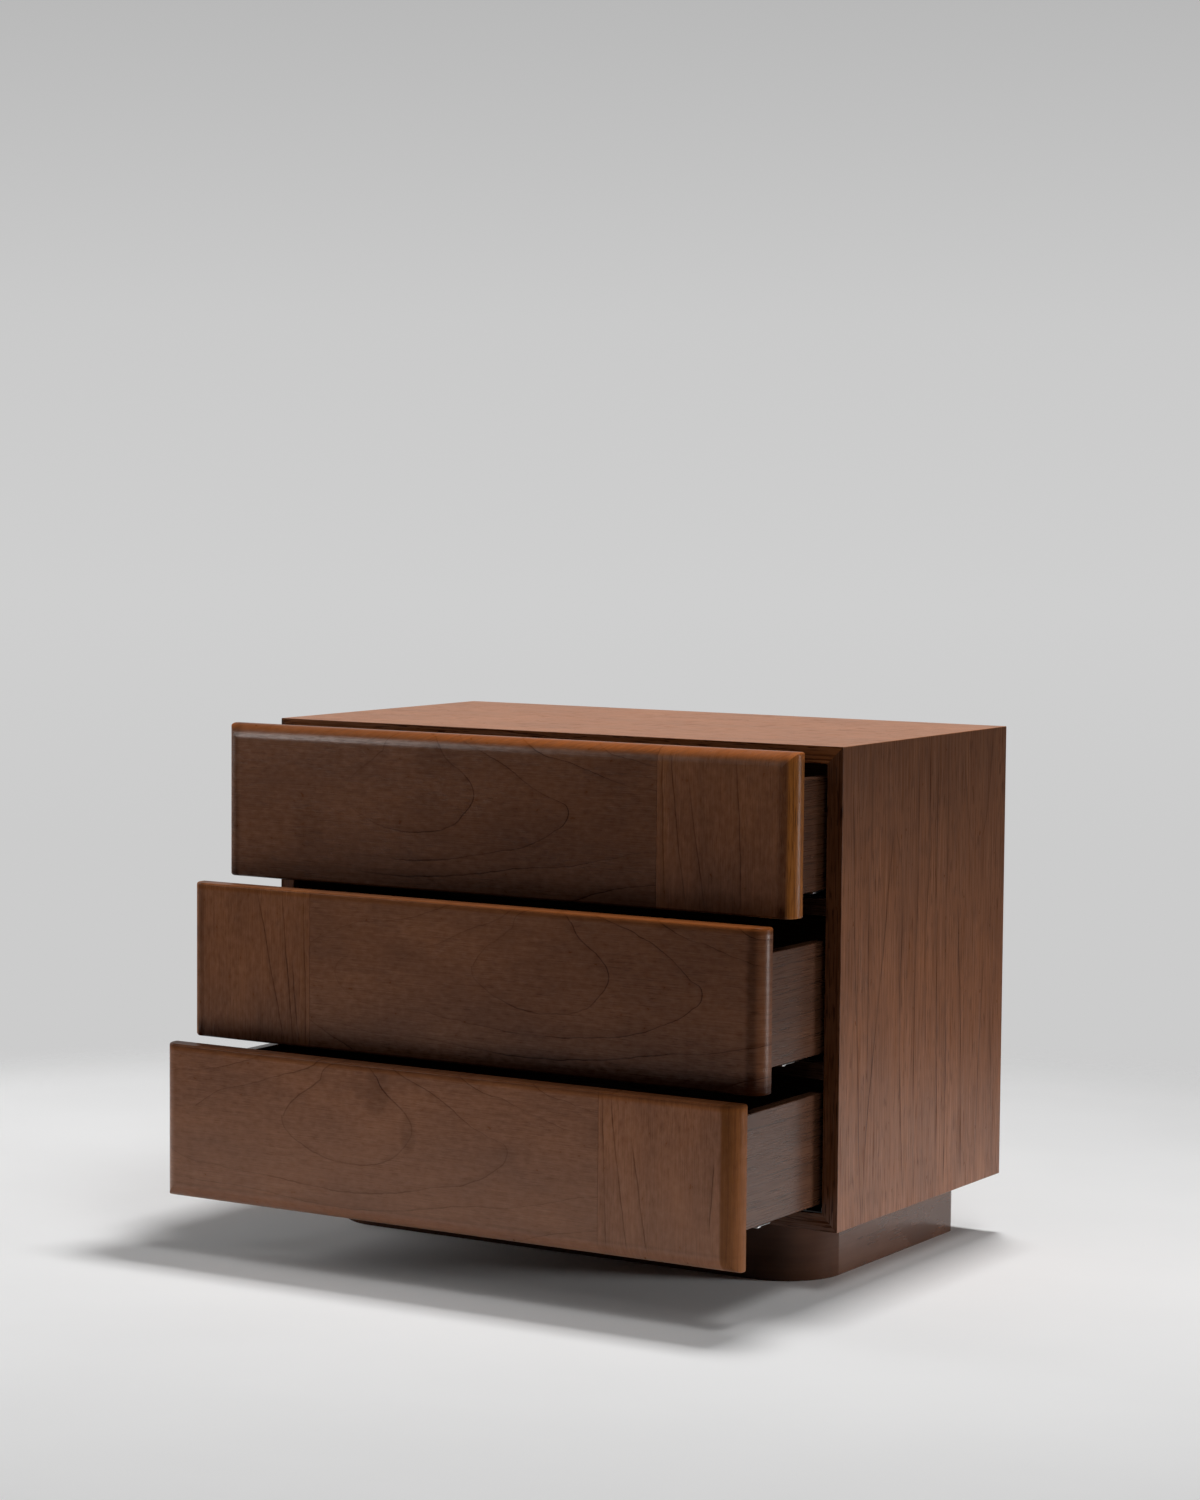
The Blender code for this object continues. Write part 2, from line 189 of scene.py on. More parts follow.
class Shader:
    """The nodes of one owner. Most methods add a node and return the socket with its result."""

    def __init__(self, name, kind="materials"):
        self.owner = getattr(bpy.data, kind).new(name)
        self.owner.use_nodes = True
        tree = self.owner.node_tree
        self.nodes, self.links = tree.nodes, tree.links
        self.surface = self.nodes.get("Principled BSDF")

    def feed(self, socket, value):
        """Links a result to a socket, or sets the socket to a plain value."""
        if isinstance(value, bpy.types.NodeSocket):
            self.links.new(value, socket)
        else:
            socket.default_value = value

    def feed_all(self, sockets, values):
        for socket, value in zip(sockets, values):
            self.feed(socket, value)

    def new(self, kind, **settings):
        """Adds a node with its settings."""
        node = self.nodes.new(f"ShaderNode{kind}")
        for name, value in settings.items():
            setattr(node, name, value)
        return node

    def math(self, operation, *values):
        node = self.new("Math", operation=operation)
        self.feed_all(node.inputs, values)
        return node.outputs[0]

    def add(self, first, second):
        return self.math("ADD", first, second)

    def times(self, first, second):
        return self.math("MULTIPLY", first, second)

    def larger(self, first, second):
        return self.math("MAXIMUM", first, second)

    def length(self, first, second):
        return self.math("SQRT", self.add(self.times(first, first), self.times(second, second)))

    def plus(self, base, value, share):
        """A base plus a share of a value."""
        return self.math("MULTIPLY_ADD", value, share, base)

    def vary(self, base, noise, share):
        """A base that goes up and down with a noise, by a share of it."""
        return self.plus(base, self.add(noise, -0.5), share)

    def distance(self, direction):
        """Millimetres along a direction from the frame's origin, which a piece keeps when it moves."""
        place = self.new("TexCoord").outputs["Object"]
        node = self.new("VectorMath", operation="DOT_PRODUCT")
        self.links.new(place, node.inputs[0])
        node.inputs[1].default_value = [1000 * part for part in direction]
        return node.outputs["Value"]

    def grain_noise(self, u, v, length, width, seed, detail=2.0):
        """Noise with patches of a length along the grain and a width across it, in millimetres."""
        along, across = self.times(u, 1 / length), self.times(v, 1 / width)
        place = self.new("CombineXYZ")
        self.feed_all(place.inputs, (along, across, seed))
        node = self.new("TexNoise")
        self.links.new(place.outputs[0], node.inputs["Vector"])
        node.inputs["Scale"].default_value = 1.0
        node.inputs["Detail"].default_value = detail
        return node.outputs[0]

    def smooth(self, value, low, high, start=0.0, end=1.0):
        node = self.new("MapRange", interpolation_type="SMOOTHSTEP")
        self.feed_all(node.inputs, (value, low, high, start, end))
        return node.outputs[0]

    def change(self, value, place, offsets, start=0.0, end=1.0):
        """A smooth change between two offsets from a place."""
        return self.smooth(value, place + offsets[0], place + offsets[1], start, end)

    def ramp(self, value, stops):
        node = self.new("ValToRGB")
        self.feed(node.inputs[0], value)
        elements = node.color_ramp.elements
        while len(elements) < len(stops):
            elements.new(0.5)
        for element, (place, colour) in zip(elements, stops):
            element.position = place
            element.color = colour
        return node.outputs[0]

    def greys(self, noise, levels, places=GREY_PLACES):
        """A grey between a dark and a light level."""
        return self.ramp(noise, list(zip(places, map(grey, levels))))

    def wood(self, tones, noises, shares):
        """The colour of a wood about its middle tone, varied by noises, each by its share."""
        tone = 0.5
        for noise, share in zip(noises, shares):
            tone = self.vary(tone, noise, share)
        return self.ramp(tone, list(zip(TONE_PLACES, tones)))

    def curve(self, value, points):
        """The height of a smooth curve through points, at a value along it."""
        places, heights = zip(*points)
        start, span = places[0], places[-1] - places[0]
        base, rise = min(heights), max(max(heights) - min(heights), LEAST_RISE)
        node = self.new("FloatCurve")
        self.feed(node.inputs["Value"], self.times(self.add(value, -start), 1 / span))
        drawn = node.mapping.curves[0].points
        drawn[0].location = (0.0, (heights[0] - base) / rise)
        drawn[1].location = (1.0, (heights[-1] - base) / rise)
        for place, height in points[1:-1]:
            drawn.new((place - start) / span, (height - base) / rise)
        node.mapping.update()
        return self.plus(base, node.outputs[0], rise)

    def mix(self, share, first, second, blend="MIX"):
        node = self.new("Mix", data_type="RGBA", blend_type=blend)
        sockets = (node.inputs[0], node.inputs[6], node.inputs[7])
        self.feed_all(sockets, (share, first, second))
        return node.outputs[2]

    def finish(self, colour, roughness, height=None, depth=VENEER_DEPTH, specular=0.5):
        """Connects the surface. The height is 0 to 1, over a depth in metres."""
        self.feed(self.surface.inputs["Base Color"], colour)
        self.feed(self.surface.inputs["Roughness"], roughness)
        self.feed(self.surface.inputs["Specular IOR Level"], specular)
        if height is not None:
            node = self.new("Bump")
            node.inputs["Strength"].default_value = 1.0
            node.inputs["Distance"].default_value = depth
            self.feed(node.inputs["Height"], height)
            self.links.new(node.outputs[0], self.surface.inputs["Normal"])
        return self.owner

    def blend(self, share, first, second, output):
        """Shows a blend of two surfaces."""
        node = self.new("MixShader")
        self.feed_all(node.inputs, (share, first.outputs[0], second.outputs[0]))
        self.links.new(node.outputs[0], self.nodes[output].inputs["Surface"])


# Veneers

# Dark, middle and light tones, and where they lie on a scale of 0 to 1
TONE_PLACES = (0.1, 0.5, 0.9)
SIDE_TONES = (paint(88, 51, 29), paint(115, 69, 40), paint(141, 89, 56))
# The top is drawn lighter than the sides: painted light and sheen from above
TOP_TONES = (paint(142, 86, 46), paint(175, 108, 61), paint(199, 129, 80))
FRONT_TONES = (paint(93, 54, 31), paint(119, 72, 42), paint(142, 90, 56))
END_TONES = (paint(98, 57, 30), paint(127, 76, 43), paint(153, 96, 57))
LIPPING_TONES = (paint(96, 56, 24), paint(138, 83, 36), paint(166, 105, 50))
# The rails are drawn darker than the rest of the carcass: painted shade for the gap between the drawers
SHADED_RAIL_TONES = (paint(40, 24, 16), paint(56, 34, 22), paint(72, 46, 30))
PLINTH_TONES = (paint(58, 37, 28), paint(78, 51, 38), paint(94, 64, 48))
BOX_TONES = (paint(52, 32, 20), paint(76, 47, 31), paint(98, 64, 43))
BOX_PORES = paint(34, 20, 12)
LATE_WOOD_AND_SHADE = paint(120, 106, 98)
# Painted highlight on the rims, left edges and lower round of the fronts; painted shade on the lowest rim
PAINTED_HIGHLIGHT = paint(173, 96, 44)
SHADED_EDGE = paint(66, 36, 22)
# Painted light from the floor, low on the lowest front
PAINTED_FLOOR_LIGHT = paint(158, 116, 92)

# How plainly a veneer shows its grain: the stretch of its marks, the millimetres across a pore, the share
# of each mark in its tone, and how far fibres (sheen) and mottles (patchy) vary its gloss
FRONT_GRAIN = {
    "stretch": 1.5, "across": 1.1, "cloud": 0.7, "mottle": 0.48, "streak": 0.12, "fibre": 0.45,
    "pore": 0.22, "line": 0.85, "sheen": 0.5, "patchy": 1.1,
}
SIDE_GRAIN = {
    "stretch": 2.6, "across": 1.7, "cloud": 0.5, "mottle": 0.25, "streak": 0.3, "fibre": 0.6,
    "pore": 0.5, "line": 0.75, "sheen": 2.4, "patchy": 0.0,
}

# Marks of a veneer, millimetres along and across the grain; mottles, fibres and pores are stretched too
CLOUD_SIZE = (110, 50)
STREAK_SIZE = (220, 7)
CLUSTER_SIZE = (80, 30)
FADE_SIZE = (60, 40)
SWAY_SIZE = (120, 60)
RIPPLE_SIZE = (16, 10)
MOTTLE_SIZE = (6, 5)
FIBRE_LENGTH = 34
PORE_LENGTH = 9

# Levels of noise at which pores and patches begin, and what is left between the patches
PORE_LEVELS = (0.56, 0.64)
PATCH_LEVELS = (0.3, 0.65)
CLUSTER_LEAST = 0.35
FADE_LEAST = 0.45

# What the marks and the painted shade of a veneer do to its tone, roughness, height and gloss
SHADE_SHARE = 0.35
MOTTLE_ROUGH = 0.12
PORE_ROUGH = 0.10
PORE_DROP = 0.6
FIBRE_RISE = 0.4
SHEEN_LEVEL = 1.06
MARK_DULLNESS = 0.8

# Fronts: how light each is drawn, lighter lower down as painted light from the floor; how light (partly
# painted light on the round), glossy, plain and wide (in millimetres) the lipping of the end panel is; and
# how dark the painted shade is at the turn into the round of the outer end
PAINTED_FRONT_LIGHT = {"top": 0.92, "middle": 0.98, "bottom": 1.18}
LIP_LIGHT = {"top": 1.22, "middle": 1.0, "bottom": 0.55}
LIP_SHEEN = {"top": 0.4, "middle": 0.4, "bottom": 0.18}
LIP_SHARE = {"top": 1.0, "middle": 1.0, "bottom": 0.6}
LIP_WIDTH = {"top": 8, "middle": 8, "bottom": 17}
TURN_SHADE = {"top": 1.2, "middle": 1.05, "bottom": 0.2}

# Painted shade under the upper fronts: how dark it is, over a rise in millimetres
LOW_SHADE = {"top": 1.5, "middle": 2.3}
LOW_SHADE_RISE = 26.0

# Painted highlight on the rim of a front: millimetres from its top between which it changes, shares at its
# left and right, and where the right one is reached, in half widths; then the painted shade and the gloss
# of the lower rims
RIM = {"top": (-10, -3), "middle": (-4, -1.5), "bottom": (-5, -1.5)}
RIM_SHARE = {"top": (0.3, 0.95), "middle": (0.0, 0.45)}
RIM_REACH = {"top": 0.3, "middle": 1.0}
SHADED_RIM_SHARE = 0.5
DULL_RIM = (-8, -4)
DULL_RIM_GLOSS = 0.15

# Flames across the rim of the top front: slant, size in millimetres, levels and least share
FLAME_SLANT = -2.0
FLAME_SIZE = (5, 40)
FLAME_LEVELS = (0.25, 0.7)
FLAME_LEAST = 0.45

# Turn of a front's outer end, from the start of its round, in millimetres
TURN_START = (-4, 2)
TURN_END = (11, 5)

# Lower round of the lowest front, from the start of the round down: a painted shade in the crease, then a
# painted highlight on the round; and the share of the painted light from the floor on that front
CREASE_START = (-2.5, 0.0)
CREASE_END = (3.0, 0.5)
CREASE_SHADE = 0.5
ROUND_LIGHT = (0.5, 5.0)
ROUND_LIGHT_SHARE = 0.05
PAINTED_FLOOR_LIGHT_SHARE = 0.3

# Painted highlight on the left edge of a wide front, from its end; stripe of an end panel, from its seam;
# blur of its lipping
LEFT_EDGE = (5, 2)
LEFT_EDGE_SHARE = 0.5
STRIPE_START = (1, 4)
STRIPE_END = (14, 9)
STRIPE_SHARE = 0.15
LIP_BLUR = (-2, 2)

# Sway and ripple of lines across the grain, in millimetres
RING_SWAY = (5, 3.5)
SMUDGE_SWAY = (12, 8)
END_SWAY = (4, 2)
LIP_SWAY = (10, 2.5)
SIDE_SWAY = (3, 2)
STRAIGHT_SWAY = (22, 2)
FINE_SWAY = (8, 1.2)
BOX_SWAY = (10, 1)

# Straight lines: their spacing and their width, in millimetres
LIP_LINES = (8, 0.9)
TOP_LINES = (15, 0.8)
BACK_LINES = (21, 0.8)
RAIL_LINES = (12, 0.8)
FINE_LINES = (10, 1.4)
BOX_LINES = (24, 0.9)
LINE_SLANT = 0.035

# Patches in which a carcass board shows fine lines, and how plainly
WORN_SIZE = (70, 9)
WORN_LEVELS = (0.35, 0.7)
WORN_SHARE = 0.6

# Drawn lines: width in millimetres, core and shade in widths, share of the shade, and ends in millimetres
END_LINE_WIDTH = 1.0
SIDE_LINE_WIDTH = 2.0
LINE_CORE = 0.1
LINE_SHADE = 7.0
LINE_SHADE_SHARE = 0.25
LINE_FADE = 25
LINE_OVERRUN = 4
SHADE_BLUR = -0.2

# Box wood: marks in millimetres, shares of cloud, streak and fibre in its tone, and what the marks do
BOX_CLOUD = (120, 30)
BOX_STREAK = (90, 2.2)
BOX_FIBRE = (60, 1.5)
BOX_SHARES = (0.6, 0.4, 0.4)
BOX_DASH = (45, 1.6)
BOX_DASH_LEVELS = (0.6, 0.7)
BOX_DASH_SHARE = 0.5
BOX_DASH_DROP = 0.7
BOX_LINE_SHARE = 0.6
BOX_FIBRE_RISE = 0.5
BOX_FIBRE_ROUGH = 0.08
BOX_ROUGH = 0.24
BOX_SPECULAR = 0.42

# Plinth: marks in millimetres, their shares, and how light, rough and glossy boards and bends are; the
# bends, on the front and its corners, are drawn darker as painted shade under the drawers
PLINTH_CLOUD = (70, 30)
PLINTH_STREAK = (160, 3)
PLINTH_SHARES = (0.9, 0.3)
PLINTH_CLOUD_ROUGH = 0.06
PLINTH_BOARD = (1.0, 0.13, 0.5)
PLINTH_BEND = (0.76, 0.20, 0.09)

# Zinc plate: marks in millimetres, its roughness, and the dark and light greys of bright plate and of the
# rails' plate, drawn dark as painted shade under the boxes
ZINC_MOTTLE = (5, 4)
ZINC_DRAWING = (60, 0.4)
ZINC_ROUGH = 0.22
ZINC_MOTTLE_ROUGH = 0.18
BRIGHT_ZINC = (176, 206)
SHADED_ZINC = (48, 66)

# Painted shade on the front edge of the carcass boards, which lies back in the gap behind the fronts: its
# reach from the face, and how dark it is
FRONT_EDGE = (1.0, 0.2)
EDGE_SHADE = 1.6
TOP_EDGE_SHADE = 1.8
TOP_SPECULAR = 0.2

# How plain the rings are, and the share of that they keep on the left of the heart
RING_SHARE = {"top": 0.85, "middle": 0.75, "bottom": 0.75}
FAR_SIDE = {"top": 0.2, "middle": 0.6, "bottom": 0.9}

# A ring's line, the shade inside it, and where rings fade left of the heart, in millimetres
RING_WIDTH = 1.1
RING_CORE = 0.1
RING_SHADE = 9.0
RING_SHADE_END = 0.9
RING_SHADE_SHARE = 0.22
RING_FADE = (-90, 30)

# Growth rings of the flat-cut leaf on each wide front: millimetres from the heart, along and across
RING_STRETCH = 2.2
INNER_RING = (
    (78, -2), (58, 27), (35, 51), (11, 60), (-29, 39), (-63, 14), (-73, -6), (-54, -23), (-2, -38),
    (41, -34), (71, -13),
)
OUTER_RING = (
    (186, -10), (164, 5), (128, 24), (76, 49), (11, 72), (-54, 46), (-150, 18), (-231, -24), (-145, -56),
    (-28, -65), (80, -57), (141, -43), (168, -29),
)
MIDDLE_OUTER_RING = (
    (178, -9), (164, 8), (146, 24), (86, 52), (11, 66), (-64, 39), (-144, 7), (-231, -23), (-124, -48),
    (0, -60), (110, -48), (166, -23),
)
FAR_RING = (
    (321, -12), (249, 20), (184, 40), (136, 55), (11, 90), (-106, 55), (-208, 33), (-314, -20), (-208, -70),
    (-44, -80), (84, -74), (188, -60), (258, -43),
)
LAST_RING = (
    (420, 0), (284, 39), (249, 46), (219, 55), (0, 110), (-300, 50), (-420, 0), (-200, -95), (200, -90),
)
FIGURES = {
    "top": ((-104, 461), (INNER_RING, OUTER_RING, FAR_RING, LAST_RING)),
    "middle": ((84, 306), (INNER_RING, MIDDLE_OUTER_RING, FAR_RING, LAST_RING)),
    "bottom": ((-106, 150), (INNER_RING, OUTER_RING, FAR_RING, LAST_RING)),
}

# Soft dark patches beside the turns of the rings, and on the top and middle fronts a broad painted shade
# over
# the right part: place, size along and across, and depth
SMUDGES_AND_SHADE = {
    "top": (
        (-70, 492, 34, 26, 0.7), (-38, 470, 14, 26, 0.5), (70, 452, 18, 14, 0.4), (-222, 425, 24, 30, 0.5),
        # Painted shade over the right part of the top front
        (150, 420, 330, 150, 0.7),
    ),
    "middle": (
        (126, 344, 26, 26, 0.7), (158, 312, 14, 24, 0.6), (58, 342, 30, 18, 0.4), (205, 345, 40, 14, 0.5),
        # Painted shade over the right part of the middle front
        (300, 280, 360, 170, 0.9),
    ),
    "bottom": (
        (-68, 186, 20, 32, 0.8), (-32, 150, 12, 24, 0.6), (80, 140, 14, 12, 0.4), (-90, 194, 10, 22, 0.4),
    ),
}

# Dark lines up each end panel: height and place across, in millimetres
END_LINES = {
    "top": (
        ((520, 193), (460, 199), (410, 205), (366, 212)), ((500, 212), (430, 222), (366, 232)),
        ((520, 262), (440, 268), (366, 270)), ((520, 184), (366, 188)),
    ),
    "middle": (
        ((365, -244), (320, -233), (270, -222), (211, -208)), ((365, -213), (300, -207), (211, -198)),
        ((300, -200), (260, -197), (211, -190)), ((365, -187), (211, -183)),
    ),
    "bottom": (
        ((209, 193), (160, 198), (110, 204), (55, 212)), ((170, 215), (110, 224), (55, 233)),
        ((165, 302), (120, 299), (80, 296)), ((209, 184), (55, 188)),
    ),
}

# Dark lines down the carcass sides: height and place across
SIDE_LINES = (
    ((470, -58), (380, -55), (300, -50), (220, -44), (120, -38), (62, -31)),
    ((440, 28), (390, 18), (340, 10), (280, 0), (220, -12), (140, -25), (62, -30)),
    ((442, 28), (415, 38), (390, 45), (350, 47), (280, 43), (180, 46), (62, 58)),
    ((518, 72), (400, 80), (260, 75), (62, 79)),
    ((518, 124), (400, 120), (300, 122), (180, 126), (62, 128)),
    ((518, 140), (400, 144), (300, 142), (180, 146), (62, 144)),
    ((360, 168), (300, 172), (240, 178), (150, 181), (62, 184)),
    ((300, 232), (200, 223), (120, 218), (62, 214)),
    ((518, 178), (470, 184), (430, 192), (404, 203)),
    ((518, 244), (450, 236), (420, 227), (402, 212)),
    ((518, -22), (440, -20), (330, -24), (200, -20)),
    ((518, 98), (430, 104), (300, 98), (200, 106)),
    ((250, 246), (150, 252), (62, 256)),
)


def swayed(shader, u, v, seed, sway, ripple):
    """Distance across the grain, swayed over a hand's width and rippled over a finger's."""
    slow = shader.grain_noise(u, v, *SWAY_SIZE, seed)
    quick = shader.grain_noise(u, v, *RIPPLE_SIZE, seed + 3, detail=3.0)
    return shader.vary(shader.vary(v, slow, sway), quick, ripple)


def shaded_line(shader, gap, width, core, shade, shade_end, share):
    """A dark line where a gap closes, with a soft shade on the side where the gap is negative."""
    line = shader.smooth(shader.math("ABSOLUTE", gap), width, core)
    soft = shader.times(shader.smooth(gap, -shade, 0.0), shader.smooth(gap, shade_end, SHADE_BLUR))
    return shader.larger(line, shader.times(soft, share))


def growth_rings(shader, u, v, heart, rings, far_side):
    """Late rings as dark lines, with a soft shade on their inner side."""
    along = shader.add(u, -heart[0])
    across = shader.times(shader.add(v, -heart[1]), RING_STRETCH)
    turn = shader.math("ARCTAN2", across, along)
    away = shader.length(along, across)
    rise = shader.math("DIVIDE", across, away)
    scale = shader.plus(1.0, shader.times(rise, rise), RING_STRETCH - 1)
    lines = 0.0
    for ring in rings:
        places = sorted((atan2(RING_STRETCH * y, x), hypot(x, RING_STRETCH * y)) for x, y in ring)
        ends = (places[-1][0] - 2 * pi, places[-1][1]), (places[0][0] + 2 * pi, places[0][1])
        reach = shader.curve(turn, [ends[0], *places, ends[1]])
        gap = shader.math("DIVIDE", shader.math("SUBTRACT", away, reach), scale)
        line = shaded_line(shader, gap, RING_WIDTH, RING_CORE, RING_SHADE, RING_SHADE_END, RING_SHADE_SHARE)
        lines = shader.larger(lines, line)
    return shader.times(lines, shader.smooth(along, *RING_FADE, far_side, 1.0))


def drawn_lines(shader, u, v, lines, width):
    """Dark lines along the grain, each through its own points, fading at its ends."""
    drawn = 0.0
    for points in lines:
        points = sorted(points)
        low, high = points[0][0], points[-1][0]
        gap = shader.math("SUBTRACT", v, shader.curve(u, points))
        core, shade = LINE_CORE * width, LINE_SHADE * width
        line = shaded_line(shader, gap, width, core, shade, width, LINE_SHADE_SHARE)
        start = shader.smooth(u, low - LINE_OVERRUN, low + LINE_FADE)
        end = shader.smooth(u, high + LINE_OVERRUN, high - LINE_FADE)
        drawn = shader.larger(drawn, shader.times(line, shader.times(start, end)))
    return drawn


def straight_lines(shader, v, spacing, width):
    """Lines along the grain, one at every spacing."""
    share = shader.math("FRACT", shader.times(v, 1 / spacing))
    edge = shader.math("ABSOLUTE", shader.add(share, -0.5))
    return shader.smooth(edge, 0.5 - width / spacing, 0.5)


def smudged(shader, u, v, smudges):
    """Soft dark patches."""
    dark = 0.0
    for x, y, length, width, depth in smudges:
        along = shader.times(shader.add(u, -x), 1 / length)
        across = shader.times(shader.add(v, -y), 1 / width)
        far = shader.add(shader.times(along, along), shader.times(across, across))
        dark = shader.larger(dark, shader.smooth(far, 1.0, 0.0, 0.0, depth))
    return dark


def veneer(shader, u, v, tones, seed, lines, grain, shade=0.0, specular=SATIN_SPECULAR):
    """Lacquered veneer from its grain coordinates: faintly cloudy, mottled, and finely pored. Returns its
    colour, roughness, height and gloss."""
    stretch, across = grain["stretch"], grain["across"]
    cloud = shader.grain_noise(u, v, *CLOUD_SIZE, seed + 11)
    mottle = shader.grain_noise(u, v, MOTTLE_SIZE[0] * stretch, MOTTLE_SIZE[1], seed + 13, detail=3.0)
    streak = shader.grain_noise(u, v, *STREAK_SIZE, seed + 17, detail=3.0)
    fibre = shader.grain_noise(u, v, FIBRE_LENGTH * stretch, across, seed + 23, detail=1.0)
    patch = shader.grain_noise(u, v, *CLUSTER_SIZE, seed + 31)
    cluster = shader.smooth(patch, *PATCH_LEVELS, CLUSTER_LEAST, 1.0)
    pore = shader.grain_noise(u, v, PORE_LENGTH * stretch, across, seed + 29, detail=1.0)
    pore = shader.times(shader.smooth(pore, *PORE_LEVELS), cluster)
    shares = [grain[mark] for mark in ("cloud", "mottle", "streak", "fibre")]
    colour = shader.wood(tones, (cloud, mottle, streak, fibre), shares)
    faded = shader.smooth(shader.grain_noise(u, v, *FADE_SIZE, seed + 37), *PATCH_LEVELS, FADE_LEAST, 1.0)
    late = shader.mix(1.0, colour, LATE_WOOD_AND_SHADE, "MULTIPLY")
    drawn = shader.times(shader.times(lines, faded), grain["line"])
    marks = shader.larger(drawn, shader.times(pore, grain["pore"]))
    marks = shader.plus(marks, shade, SHADE_SHARE)
    # Grain marks, and the painted shade passed in, darken the colour towards the late wood
    colour = shader.mix(marks, colour, late)
    gloss = shader.vary(SATIN, mottle, MOTTLE_ROUGH)
    gloss = shader.plus(gloss, pore, PORE_ROUGH)
    height = shader.plus(shader.times(fibre, FIBRE_RISE), pore, -PORE_DROP)
    sheen = shader.vary(SHEEN_LEVEL * specular, fibre, grain["sheen"] * specular)
    sheen = shader.vary(sheen, mottle, grain["patchy"] * specular)
    sheen = shader.plus(sheen, marks, -MARK_DULLNESS * specular)
    return colour, gloss, height, sheen


def lit_tones(tones, light):
    """The tones of a veneer, made lighter or darker."""
    return [(*[part * light for part in tone[:3]], 1.0) for tone in tones]


def front_heights(drawer):
    """Bottom and top of a front, in millimetres."""
    return [1000 * corner.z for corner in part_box(f"{drawer}_front_panel")]


def painted_rim_light(shader, colour, drawer):
    """Painted highlight along the round top of a front, where light from above falls, flamed across its
    length where it is broad. The rim of the lowest front gets painted shade instead."""
    x, z = shader.distance(X), shader.distance(Z)
    top = front_heights(drawer)[1]
    if drawer == DRAWERS[-1]:
        return shader.mix(shader.change(z, top, RIM[drawer], 0.0, SHADED_RIM_SHARE), colour, SHADED_EDGE)
    share = shader.smooth(x, -HALF_WIDTH, RIM_REACH[drawer] * HALF_WIDTH, *RIM_SHARE[drawer])
    share = shader.times(shader.change(z, top, RIM[drawer]), share)
    if drawer == DRAWERS[0]:
        slanted = shader.plus(x, z, FLAME_SLANT)
        flame = shader.grain_noise(slanted, z, *FLAME_SIZE, 261.0)
        share = shader.times(share, shader.smooth(flame, *FLAME_LEVELS, 1.0, FLAME_LEAST))
    return shader.mix(share, colour, PAINTED_HIGHLIGHT)


def dark_turn(shader, outward):
    """Shade where the face of a front turns into the round of its outer end."""
    turn = HALF_WIDTH - 1000 * FRONT_BORDER
    return shader.times(shader.change(outward, turn, TURN_START), shader.change(outward, turn, TURN_END))


def lower_round(shader, drawer):
    """Shade and light low on a front: upper fronts turn dark underneath, the lowest turns lighter."""
    above = shader.add(shader.distance(Z), -front_heights(drawer)[0])
    if drawer != DRAWERS[-1]:
        return shader.smooth(above, LOW_SHADE_RISE, 0.0, 0.0, LOW_SHADE[drawer]), 0.0
    below = shader.math("SUBTRACT", 1000 * FRONT_BORDER, above)
    crease = shader.smooth(below, *CREASE_END, 0.0, CREASE_SHADE)
    crease = shader.times(shader.smooth(below, *CREASE_START), crease)
    return crease, shader.smooth(below, *ROUND_LIGHT, 0.0, ROUND_LIGHT_SHARE)


def shaded_gloss(shader, sheen, drawer):
    """Less gloss on the top round of the lower fronts, which the front above keeps in shade."""
    if drawer == DRAWERS[0]:
        return sheen
    top = front_heights(drawer)[1]
    dull = shader.change(shader.distance(Z), top, DULL_RIM, 1.0, DULL_RIM_GLOSS)
    return shader.times(sheen, dull)


def floor_light(shader, colour, drawer):
    """Painted light from the floor, which makes the lower part of the lowest front paler."""
    if drawer != DRAWERS[-1]:
        return colour
    low, high = front_heights(drawer)
    share = shader.smooth(shader.distance(Z), high, low, 0.0, PAINTED_FLOOR_LIGHT_SHARE)
    return shader.mix(share, colour, PAINTED_FLOOR_LIGHT)


def front_veneer(drawer, side, seed):
    """Flat-cut veneer across a wide front, with its growth rings."""
    shader = Shader(f"{drawer}_front_veneer")
    u, v = shader.distance(X), shader.distance(Z)
    outward = shader.times(u, side)
    heart, rings = FIGURES[drawer]
    across = swayed(shader, u, v, seed, *RING_SWAY)
    lines = growth_rings(shader, u, across, heart, rings, FAR_SIDE[drawer])
    lines = shader.times(lines, RING_SHARE[drawer])
    crease, under = lower_round(shader, drawer)
    shade = smudged(shader, u, swayed(shader, u, v, seed + 7, *SMUDGE_SWAY), SMUDGES_AND_SHADE[drawer])
    shade = shader.plus(shade, dark_turn(shader, outward), TURN_SHADE[drawer])
    shade = shader.add(shade, crease)
    tones = lit_tones(FRONT_TONES, PAINTED_FRONT_LIGHT[drawer])
    colour, gloss, height, sheen = veneer(shader, u, v, tones, seed, lines, FRONT_GRAIN, shade)
    colour = floor_light(shader, colour, drawer)
    # Painted highlight on the lower round of the lowest front and on the left edge
    under = shader.larger(under, shader.change(u, -HALF_WIDTH, LEFT_EDGE, 0.0, LEFT_EDGE_SHARE))
    colour = shader.mix(under, colour, PAINTED_HIGHLIGHT)
    colour = painted_rim_light(shader, colour, drawer)
    return shader.finish(colour, gloss, height, specular=shaded_gloss(shader, sheen, drawer))


def lipping(shader, drawer, u, v, seed):
    """Colour of the golden wood round the outer edge of an end panel."""
    depth = shader.add(shader.distance(Y), v)
    lines = straight_lines(shader, swayed(shader, u, depth, seed, *LIP_SWAY), *LIP_LINES)
    return veneer(shader, u, depth, lit_tones(LIPPING_TONES, LIP_LIGHT[drawer]), seed, lines, SIDE_GRAIN)[0]


